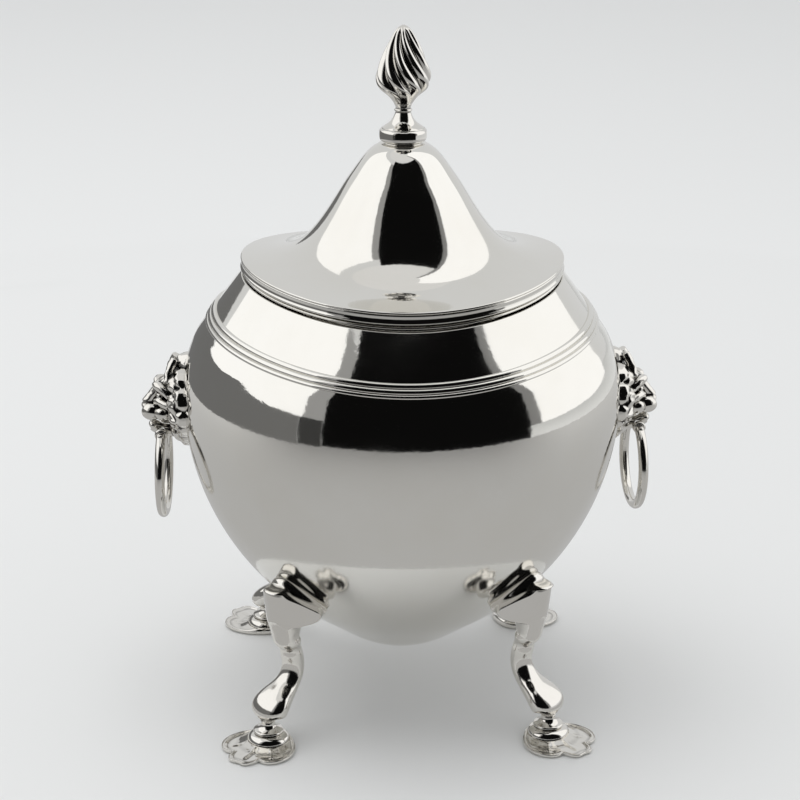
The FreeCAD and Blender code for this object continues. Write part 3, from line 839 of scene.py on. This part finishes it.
def foot_pad():
    """The pad: a thin lobed leaf, dished, with a raised bright edge and a vein to each lobe."""
    around = 240
    steps = 30
    toe = spline(TOE_EDGE, 60)
    side = spline(SIDE_EDGE, 120)
    lip = [(1.0, 0.95), (1.012, 0.8), (1.014, 0.55), (1.0, 0.3), (0.98, 0.12), (0.95, 0.02),
           (0.9, 0.0), (0.0, 0.0)]

    def place(row, angle):
        degrees = math.degrees(angle)
        reach = pad_outline(toe, side, degrees)
        signed = min(degrees, 360.0 - degrees)
        if row < steps:
            share = row / (steps - 1)
            radius = reach * share
            inward = reach - radius
            edge = math.exp(-((inward - 0.42) / 0.42) ** 2)
            hill = 0.85 * (1.0 - smoothstep(3.6, 6.6, radius))
            vein = 0.2 * math.exp(-((signed / 5.0) ** 2))
            vein += 0.16 * math.exp(-(((signed - 42.0) / 5.0) ** 2))
            vein *= smoothstep(4.0, 5.5, radius) * (1.0 - smoothstep(0.75, 0.95, share))
            height = 0.55 + hill + vein + 0.42 * edge
            height -= 0.06 * smoothstep(0.42, 0.0, inward)
        else:
            radius = reach * lip[row - steps][0]
            height = lip[row - steps][1]
        turn = angle + math.radians(PAD_TURN)
        return (FOOT_X + radius * math.cos(turn), radius * math.sin(turn), height)
    return swept(steps + len(lip), place, around)


def feet():
    """The lobed pads, each with the small turned knop under the hoof."""
    base = [(0.0, 0.6)] + spline([(4.25, 0.7), (4.4, 1.2), (4.3, 1.8), (3.9, 2.35), (3.3, 2.7),
                                  (2.75, 2.85)], 20)
    base += spline([(2.75, 2.85), (3.05, 3.0), (3.15, 3.25), (3.0, 3.5)], 12)[1:]
    base += spline([(3.0, 3.5), (2.4, 3.75), (1.8, 4.2), (1.5, 4.75), (1.55, 5.4)], 18)[1:]
    base += [(0.0, 5.4)]
    turning = lathe(base, 72, False, (FOOT_X, 0.0))
    vertices, faces = merged(turning, foot_pad())
    mesh = bpy.data.meshes.new("foot_shape")
    mesh.from_pydata(vertices, [], faces)
    source = bpy.data.objects.new("foot_shape", mesh)
    bpy.context.scene.collection.objects.link(source)
    names = ["pad_foot_" + corner for corner in CORNERS]
    nodes = [("foot_" + corner,) for corner in CORNERS]
    placed_copies(source, names, LEG_TURNS, "bowl", "cast_silver", CAST, nodes, mirror=(1, 2))


# ---- lion masks, pins and drop rings ----

PIVOT_X = 50.6
PIVOT_Z = 58.2
RING_RADIUS = 9.45
RING_WIRE = 1.05
RING_GAP = 21.0
MASK_TURN = 3.5
MANE_HEIGHT = 64.0
# The head's profile on its middle line: height, distance out from the bowl's axis, half width.
HEAD_PROFILE = [
    (75.3, 45.4, 1.3), (74.6, 46.9, 2.2), (73.2, 47.5, 2.9), (71.8, 47.7, 3.3), (70.8, 49.0, 3.9),
    (69.4, 50.9, 4.3), (67.9, 51.7, 4.5), (66.4, 51.3, 4.4), (64.8, 50.9, 4.5), (63.2, 50.3, 4.2),
    (62.0, 49.2, 3.3),
]


def mane_layer(reach_y, reach_z, rise, locks, phase):
    """One thick layer of the mane: a disc on the wall, its edge and face parted into locks."""
    around = 176
    rows = 30
    points = []
    for side in (1, 0):
        for row in range(rows):
            share = math.sin(0.5 * math.pi * row / (rows - 1))
            for i in range(around):
                angle = 2.0 * math.pi * i / around
                curl = 0.35 * share * math.cos(angle)
                parting = (1.0 - abs(math.cos(0.5 * locks * (angle + phase + curl)))) ** 2.0
                narrow = 1.0 - 0.34 * smoothstep(0.1, 1.0, -math.sin(angle))
                edge = share * (1.0 - 0.07 * parting)
                y = reach_y * narrow * edge * math.cos(angle)
                z = MANE_HEIGHT + reach_z * edge * math.sin(angle)
                lift = -0.5
                if side:
                    lift = rise * (1.0 - 0.35 * share ** 14)
                    lift -= 0.95 * parting * smoothstep(0.4, 0.7, share)
                points.append(wall_point(y, z, lift))
    faces = ring_faces(rows, around)
    faces += [tuple(index + rows * around for index in face) for face in faces]
    top = (rows - 1) * around
    for i in range(around):
        j = (i + 1) % around
        faces.append((top + i, top + j, top + rows * around + j, top + rows * around + i))
    return points, faces


def mane():
    """Two layers of locks, the upper one thicker and a little smaller."""
    return [mane_layer(9.7, 9.2, 2.1, 13, 0.0), mane_layer(8.9, 8.3, 3.3, 11, 0.3)]


def head_loft():
    """Forelock, brow and cheeks as one form, from its profile and half widths."""
    around = 40
    count = 60
    rows = spline(HEAD_PROFILE, count)
    back = 43.0
    vertices = []
    for height, out, wide in rows:
        for i in range(around):
            angle = 2.0 * math.pi * i / around
            forward = math.cos(angle)
            reach = (out - back) * forward ** 0.75 if forward > 0 else forward
            vertices.append((back + reach, wide * math.sin(angle), height))
    return vertices, ring_faces(count, around) + end_caps(count, around)


def face():
    """The lion's head: brow, eyes, nose, muzzle, and the lower jaw that holds the pin."""
    nose = spline([(50.4, 0.0, 68.6), (52.0, 0.0, 66.4), (53.4, 0.0, 64.6), (53.9, 0.0, 64.0)], 20)
    jaw = spline([(46.6, 0.0, 57.6), (49.0, 0.0, 58.0), (51.2, 0.0, 58.4), (52.5, 0.0, 59.2)], 20)
    parts = [
        head_loft(),
        tube(nose, [1.25] * 20),
        ball((54.1, 0.0, 63.7), (0.95, 1.35, 0.85), 20.0),
        ball((51.8, 0.0, 62.9), (2.9, 2.7, 1.9)),
        tube(jaw, [1.35] * 20),
        ball((52.5, 0.0, 59.4), (1.1, 1.7, 0.95)),
    ]
    for sign in (-1.0, 1.0):
        brow = spline([(51.3, 0.5 * sign, 67.7), (51.6, 1.9 * sign, 68.6),
                       (50.2, 3.5 * sign, 68.2), (48.6, 4.5 * sign, 66.9)], 20)
        cheek = spline([(51.6, 1.7 * sign, 64.9), (50.6, 3.2 * sign, 65.2),
                        (48.8, 4.3 * sign, 64.6)], 16)
        tuft = spline([(47.4, 1.6 * sign, 74.2), (48.7, 2.8 * sign, 71.6),
                       (48.9, 4.2 * sign, 69.6)], 16)
        parts += [
            tube(brow, [1.0 - 0.25 * abs(i / 9.5 - 1.0) for i in range(20)], 16, (0.3, 0.0, 1.0)),
            tube(cheek, [0.85] * 16, 16, (0.3, 0.0, 1.0)),
            tube(tuft, [0.9] * 16, 16, (1.0, 0.0, 0.0)),
            ball((50.6, 2.35 * sign, 66.5), (0.95, 0.85, 0.7)),
            ball((52.6, 1.35 * sign, 62.6), (2.3, 1.75, 1.9), 6.0),
            ball((50.2, 2.9 * sign, 62.6), (1.7, 1.3, 1.5)),
        ]
    return parts


def lion_masks():
    """Both lion heads: the sculpted form, with fine strands worked into the mane."""
    mask = sculpt("mask_sculpture", mane() + face(), 0.17, 4)
    outward = [vertex.normal.copy() for vertex in mask.data.vertices]
    for vertex, normal in zip(mask.data.vertices, outward):
        point = vertex.co.copy()
        ridge = noise.noise(Vector((point.y * 1.3, point.z * 1.3, point.x * 0.8)))
        reach = math.hypot(point.y / 9.0, (point.z - MANE_HEIGHT) / 8.4)
        turn = math.atan2(point.z - MANE_HEIGHT, point.y)
        strands = math.sin(33.0 * turn + 5.0 * reach) * smoothstep(0.6, 0.75, reach)
        strands *= smoothstep(0.3, 0.6, normal.x)
        point += normal * (0.07 * strands + 0.04 * ridge)
        vertex.co = point
    mark_deep_tarnish_and_shade(mask, 0.0, 0.11, 160)
    names = ["lion_head_left", "lion_head_right"]
    nodes = [("lion_mask_left",), ("lion_mask_right",)]
    placed_copies(mask, names, [180.0 - MASK_TURN, MASK_TURN], "bowl", "cast_silver", CAST, nodes,
                  mirror=(0,))


def ring_shape():
    """The penannular drop ring, without the eyes at its ends."""
    centre_z = PIVOT_Z - RING_RADIUS * math.cos(math.radians(RING_GAP))
    count = 97
    sides = 24
    vertices = []
    for i in range(count):
        angle = math.radians(RING_GAP + (360.0 - 2.0 * RING_GAP) * i / (count - 1))
        for k in range(sides):
            turn = 2.0 * math.pi * k / sides
            reach = RING_RADIUS + RING_WIRE * math.cos(turn)
            vertices.append((PIVOT_X + RING_WIRE * math.sin(turn), reach * math.sin(angle),
                             centre_z + reach * math.cos(angle)))
    return vertices, ring_faces(count, sides) + end_caps(count, sides)


def across(profile, sides=32):
    """A turning about the pivot's line: profile is (sideways place, radius)."""
    vertices = []
    for sideways, radius in profile:
        for k in range(sides):
            turn = 2.0 * math.pi * k / sides
            vertices.append((PIVOT_X + radius * math.cos(turn), sideways,
                             PIVOT_Z + radius * math.sin(turn)))
    return vertices, ring_faces(len(profile), sides, True)


def drop_rings():
    """Both drop rings with their eyes, and the pins that they hang from."""
    eyes = []
    for start in (-4.45, 2.55):
        eyes.append(across([(start, 0.65), (start, 1.0), (start + 0.08, 1.2), (start + 0.3, 1.35),
                            (start + 1.6, 1.35), (start + 1.82, 1.2), (start + 1.9, 1.0),
                            (start + 1.9, 0.65)]))
    pin = []
    for i in range(9):
        angle = math.pi * 0.5 * i / 8
        pin.append((-5.8 + 0.5 * (1.0 - math.cos(angle)), 0.02 + 0.58 * math.sin(angle)))
    pin += [(-place, radius) for place, radius in reversed(pin)]
    for side, turn in (("left", 180.0 - MASK_TURN), ("right", MASK_TURN)):
        matrix = turned(turn)
        ring = moved(merged(ring_shape(), *eyes), matrix)
        new_object("drop_ring_" + side, *ring, "ring_" + side, "cast_silver", CAST,
                   ("ring_" + side,))
        bar = moved(across(pin), matrix)
        new_object("jaw_pin_" + side, *bar, "bowl", "cast_silver", CAST, ("ring_pin_" + side,))


# ---- studio ----

CAMERA_TURN = -3.6
CAMERA_DISTANCE = 450.0
CAMERA_HEIGHT = 217.5
CAMERA_PITCH = 18.73
CAMERA_LENS = 101.2
CAMERA_SLIP = -0.34
CAMERA_ROLL = 0.3
# Height that the cards' rises are measured from, in metres.
EYE_LINE = 0.07
WHITE = (1.0, 1.0, 1.0, 1.0)


def stage_material(name, colour, glow=0.0, rough=0.6):
    """A soft, faintly uneven surface; with glow it gives light of its own instead."""
    material = bpy.data.materials.new(name)
    material.use_nodes = True
    nodes = material.node_tree.nodes
    links = material.node_tree.links
    shader = nodes["Principled BSDF"]
    grain = nodes.new("ShaderNodeTexNoise")
    grain.inputs["Scale"].default_value = 6.0
    grain.inputs["Detail"].default_value = 3.0
    mix = nodes.new("ShaderNodeMix")
    mix.data_type = "RGBA"
    mix.inputs["A"].default_value = colour
    mix.inputs["B"].default_value = (colour[0] * 0.96, colour[1] * 0.96, colour[2] * 0.96, 1.0)
    links.new(grain.outputs["Fac"], mix.inputs["Factor"])
    shader.inputs["Roughness"].default_value = rough
    if glow:
        shader.inputs["Base Color"].default_value = (0.0, 0.0, 0.0, 1.0)
        shader.inputs["Specular IOR Level"].default_value = 0.0
        shader.inputs["Emission Strength"].default_value = glow
        links.new(mix.outputs["Result"], shader.inputs["Emission Color"])
    else:
        links.new(mix.outputs["Result"], shader.inputs["Base Color"])
    return material


def stage_mesh(name, vertices, faces, material):
    """A studio surface in metres."""
    mesh = bpy.data.meshes.new(name)
    mesh.from_pydata(vertices, [], faces)
    mesh.polygons.foreach_set("use_smooth", [True] * len(mesh.polygons))
    item = bpy.data.objects.new(name, mesh)
    mesh.materials.append(material)
    bpy.context.scene.collection.objects.link(item)
    return item


def reflected(item):
    """Seen only in the silver: it neither shows nor lights nor shades the floor."""
    item.visible_camera = False
    item.visible_diffuse = False
    item.visible_shadow = False
    item.visible_transmission = False


def curved_card(name, turns, rises, radius, glow):
    """A card bent round the bowl: turns from the camera's side and rises, in degrees."""
    columns = 24
    rows = 16
    vertices = []
    for row in range(rows + 1):
        rise = math.radians(rises[0] + (rises[1] - rises[0]) * row / rows)
        for column in range(columns + 1):
            turn = turns[0] + (turns[1] - turns[0]) * column / columns
            angle = math.radians(turn - 90.0 + CAMERA_TURN)
            vertices.append((radius * math.cos(rise) * math.cos(angle),
                             radius * math.cos(rise) * math.sin(angle),
                             EYE_LINE + radius * math.sin(rise)))
    faces = []
    for row in range(rows):
        for column in range(columns):
            a = row * (columns + 1) + column
            faces.append((a, a + 1, a + columns + 2, a + columns + 1))
    material = stage_material(name, WHITE, glow, 0.9)
    reflected(stage_mesh(name, vertices, faces, material))


def floor_glow(turn, reach):
    """How bright the pale table looks in the silver: dimmer in front, out towards its edge."""
    turn = abs((turn + 180.0) % 360.0 - 180.0)
    # Painted shade: the table seen in the silver is dimmed in front and out towards the card's
    # edge.
    front = 1.0 - smoothstep(40.0, 95.0, turn)
    far = smoothstep(0.08, 0.36, reach)
    return 0.49 + (1.0 - front) * 0.12 * far - front * 0.17 * far


def low_card(height, inner, outer):
    """A ring-shaped card just over the floor, clear of the feet, that fades from place to place: a
    painted reflection of the table, with painted shade in front.
    """
    columns = 72
    rows = 24
    vertices = []
    glow = []
    for row in range(rows + 1):
        reach = inner + (outer - inner) * row / rows
        for column in range(columns):
            turn = 360.0 * column / columns
            angle = math.radians(turn - 90.0 + CAMERA_TURN)
            vertices.append((reach * math.cos(angle), reach * math.sin(angle), height))
            glow.append(floor_glow(turn, reach))
    item = stage_mesh("low_card", vertices, ring_faces(rows + 1, columns),
                      stage_material("low_card", WHITE, 1.0, 0.9))
    shades = item.data.color_attributes.new("glow", "FLOAT_COLOR", "POINT")
    for place, value in zip(shades.data, glow):
        place.color = (value, value, value, 1.0)
    nodes = item.data.materials[0].node_tree.nodes
    links = item.data.materials[0].node_tree.links
    read = nodes.new("ShaderNodeAttribute")
    read.attribute_name = "glow"
    links.new(read.outputs["Color"], nodes["Principled BSDF"].inputs["Emission Color"])
    reflected(item)


def studio():
    """Pale floor, soft world light, and the cards that the polished silver reflects."""
    floor = stage_material("pale_floor", (0.82, 0.825, 0.82, 1.0))
    stage_mesh("floor", [(-3.0, -3.0, 0.0), (3.0, -3.0, 0.0), (3.0, 3.0, 0.0), (-3.0, 3.0, 0.0)],
               [(0, 1, 2, 3)], floor)
    world = bpy.data.worlds.new("studio_world")
    bpy.context.scene.world = world
    world.use_nodes = True
    back = world.node_tree.nodes["Background"]
    back.inputs["Color"].default_value = (0.98, 0.99, 1.0, 1.0)
    back.inputs["Strength"].default_value = 0.74
    data = bpy.data.lights.new("top_softbox", "AREA")
    data.shape = "RECTANGLE"
    data.size = 1.2
    data.size_y = 1.0
    data.energy = 5.2
    lamp = bpy.data.objects.new("top_softbox", data)
    lamp.location = (-0.25, 0.1, 1.1)
    lamp.rotation_euler = (0.0, math.radians(-12.0), 0.0)
    bpy.context.scene.collection.objects.link(lamp)
    lamp.visible_camera = False
    lamp.visible_glossy = False

    curved_card("dark_card", (-38.0, 64.0), (-10.2, 68.0), 0.395, 0.004)
    curved_card("left_window", (-130.0, -50.0), (12.0, 62.0), 0.6, 1.2)
    curved_card("left_window_edge", (-50.0, -38.0), (12.0, 62.0), 0.6, 0.35)
    curved_card("left_low_strip", (-160.0, -50.0), (-12.0, 12.0), 0.35, 0.17)
    curved_card("left_low_edge", (-50.0, -38.0), (-11.0, 12.0), 0.37, 0.05)
    curved_card("right_window", (72.0, 130.0), (-2.0, 82.0), 0.6, 1.2)
    curved_card("right_window_edge", (64.0, 72.0), (-2.0, 82.0), 0.6, 0.25)
    curved_card("ceiling_card", (-180.0, 180.0), (68.0, 90.0), 0.9, 0.8)
    low_card(0.001, 0.054, 0.39)


def camera():
    """A long lens from the front, a little above, looking down."""
    data = bpy.data.cameras.new("camera")
    data.lens = CAMERA_LENS
    data.sensor_width = 36.0
    item = bpy.data.objects.new("camera", data)
    place = turned(CAMERA_TURN) @ Matrix.Translation(
        Vector((CAMERA_SLIP, -CAMERA_DISTANCE, CAMERA_HEIGHT)) * MM)
    tilt = Matrix.Rotation(math.radians(90.0 - CAMERA_PITCH), 4, "X")
    item.matrix_world = place @ tilt @ turned(CAMERA_ROLL)
    bpy.context.scene.collection.objects.link(item)
    bpy.context.scene.camera = item


def node_material(node):
    """Give a carried-over CAD node the fittings' silver."""
    for item in bpy.data.objects:
        if item.name == node and item.type == "MESH":
            for place in item.material_slots:
                place.material = FITTING


def build():
    bowl_body()
    reeds()
    mouth_edge()
    lid_cover()
    lid_edges()
    finial_turnings()
    finial_flame()
    leg_sculpture()
    feet()
    lion_masks()
    drop_rings()
    for node in ("finial_stud", "finial_washer", "finial_nut"):
        node_material(node)
    camera()
    studio()


build()
bpy.context.scene.view_settings.view_transform = "Standard"
